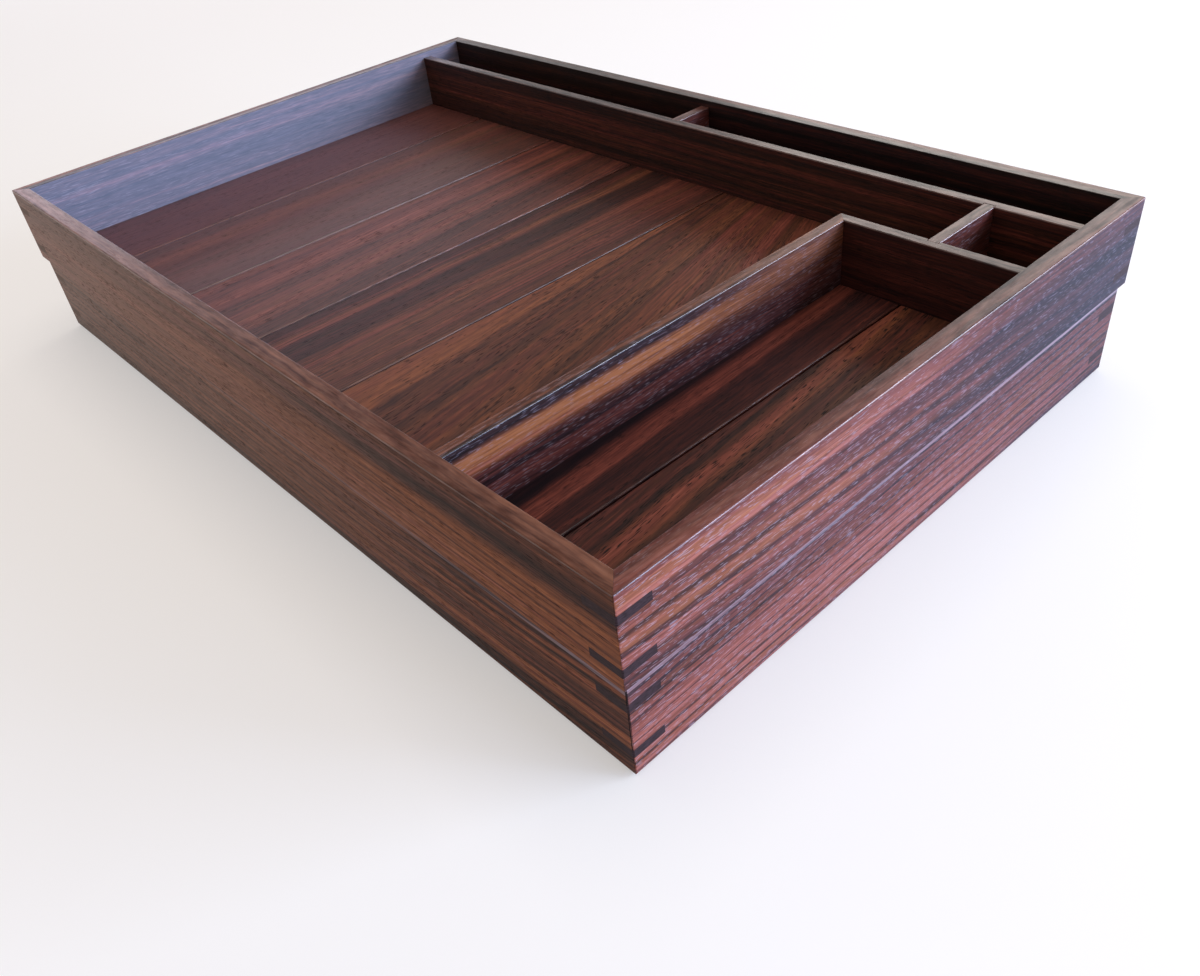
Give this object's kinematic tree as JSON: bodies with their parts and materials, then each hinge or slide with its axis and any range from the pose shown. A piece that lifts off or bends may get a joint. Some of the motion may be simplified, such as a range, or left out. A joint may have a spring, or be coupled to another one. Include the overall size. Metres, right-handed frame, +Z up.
{
  "type": "stacking desk organiser tray",
  "caption": "Two stacked mitred wooden trays with keyed corners and planked floors: an organiser tray with fixed dividers for paper, pens and small things lifts off a plain lower tray.",
  "frame": {"origin": "centre of the underside of the lower tray", "axes": "+Z up, out of the open top; +X along the long side, towards the small compartment; +Y towards the row of pen slots, so -Y is the front"},
  "size_m": [0.4, 0.26, 0.0713],
  "materials": {
    "wall_wood": "satin oiled dark rosewood with black and orange-brown stripes",
    "divider_wood": "satin oiled dark rosewood, plain straight grain",
    "floor_wood": "low-sheen oiled dark rosewood planks",
    "key_wood": "satin oiled near-black wood",
    "batten_wood": "low-sheen oiled dark rosewood"
  },
  "bodies": {
    "lower_tray": {"lower_front_wall": "wall_wood", "lower_right_wall": "wall_wood", "lower_back_wall": "wall_wood", "lower_left_wall": "wall_wood", "lower_key_front_left_top": "key_wood", "lower_key_front_left_bottom": "key_wood", "lower_key_front_right_top": "key_wood", "lower_key_front_right_bottom": "key_wood", "lower_key_back_right_top": "key_wood", "lower_key_back_right_bottom": "key_wood", "lower_key_back_left_top": "key_wood", "lower_key_back_left_bottom": "key_wood", "lower_floor_plank_1": "floor_wood", "lower_floor_plank_2": "floor_wood", "lower_floor_plank_3": "floor_wood", "lower_floor_plank_4": "floor_wood", "lower_floor_plank_5": "floor_wood", "lower_floor_plank_6": "floor_wood", "lower_floor_plank_7": "floor_wood"},
    "upper_tray": {"upper_front_wall": "wall_wood", "upper_right_wall": "wall_wood", "upper_back_wall": "wall_wood", "upper_left_wall": "wall_wood", "upper_key_front_left_top": "key_wood", "upper_key_front_left_bottom": "key_wood", "upper_key_front_right_top": "key_wood", "upper_key_front_right_bottom": "key_wood", "upper_key_back_right_top": "key_wood", "upper_key_back_right_bottom": "key_wood", "upper_key_back_left_top": "key_wood", "upper_key_back_left_bottom": "key_wood", "upper_floor_plank_1": "floor_wood", "upper_floor_plank_2": "floor_wood", "upper_floor_plank_3": "floor_wood", "upper_floor_plank_4": "floor_wood", "upper_floor_plank_5": "floor_wood", "upper_floor_plank_6": "floor_wood", "upper_floor_plank_7": "floor_wood", "long_divider": "divider_wood", "pen_slot_divider": "divider_wood", "cup_divider": "divider_wood", "small_tray_side_wall": "divider_wood", "small_tray_back_wall": "divider_wood", "locating_batten_front": "batten_wood", "locating_batten_back": "batten_wood"}
  },
  "joints": [
    {"name": "upper_tray_lift", "type": "slide", "parent": "lower_tray", "child": "upper_tray", "axis": [0, 0, 1], "range_m": [0, 0.12]}
  ]
}
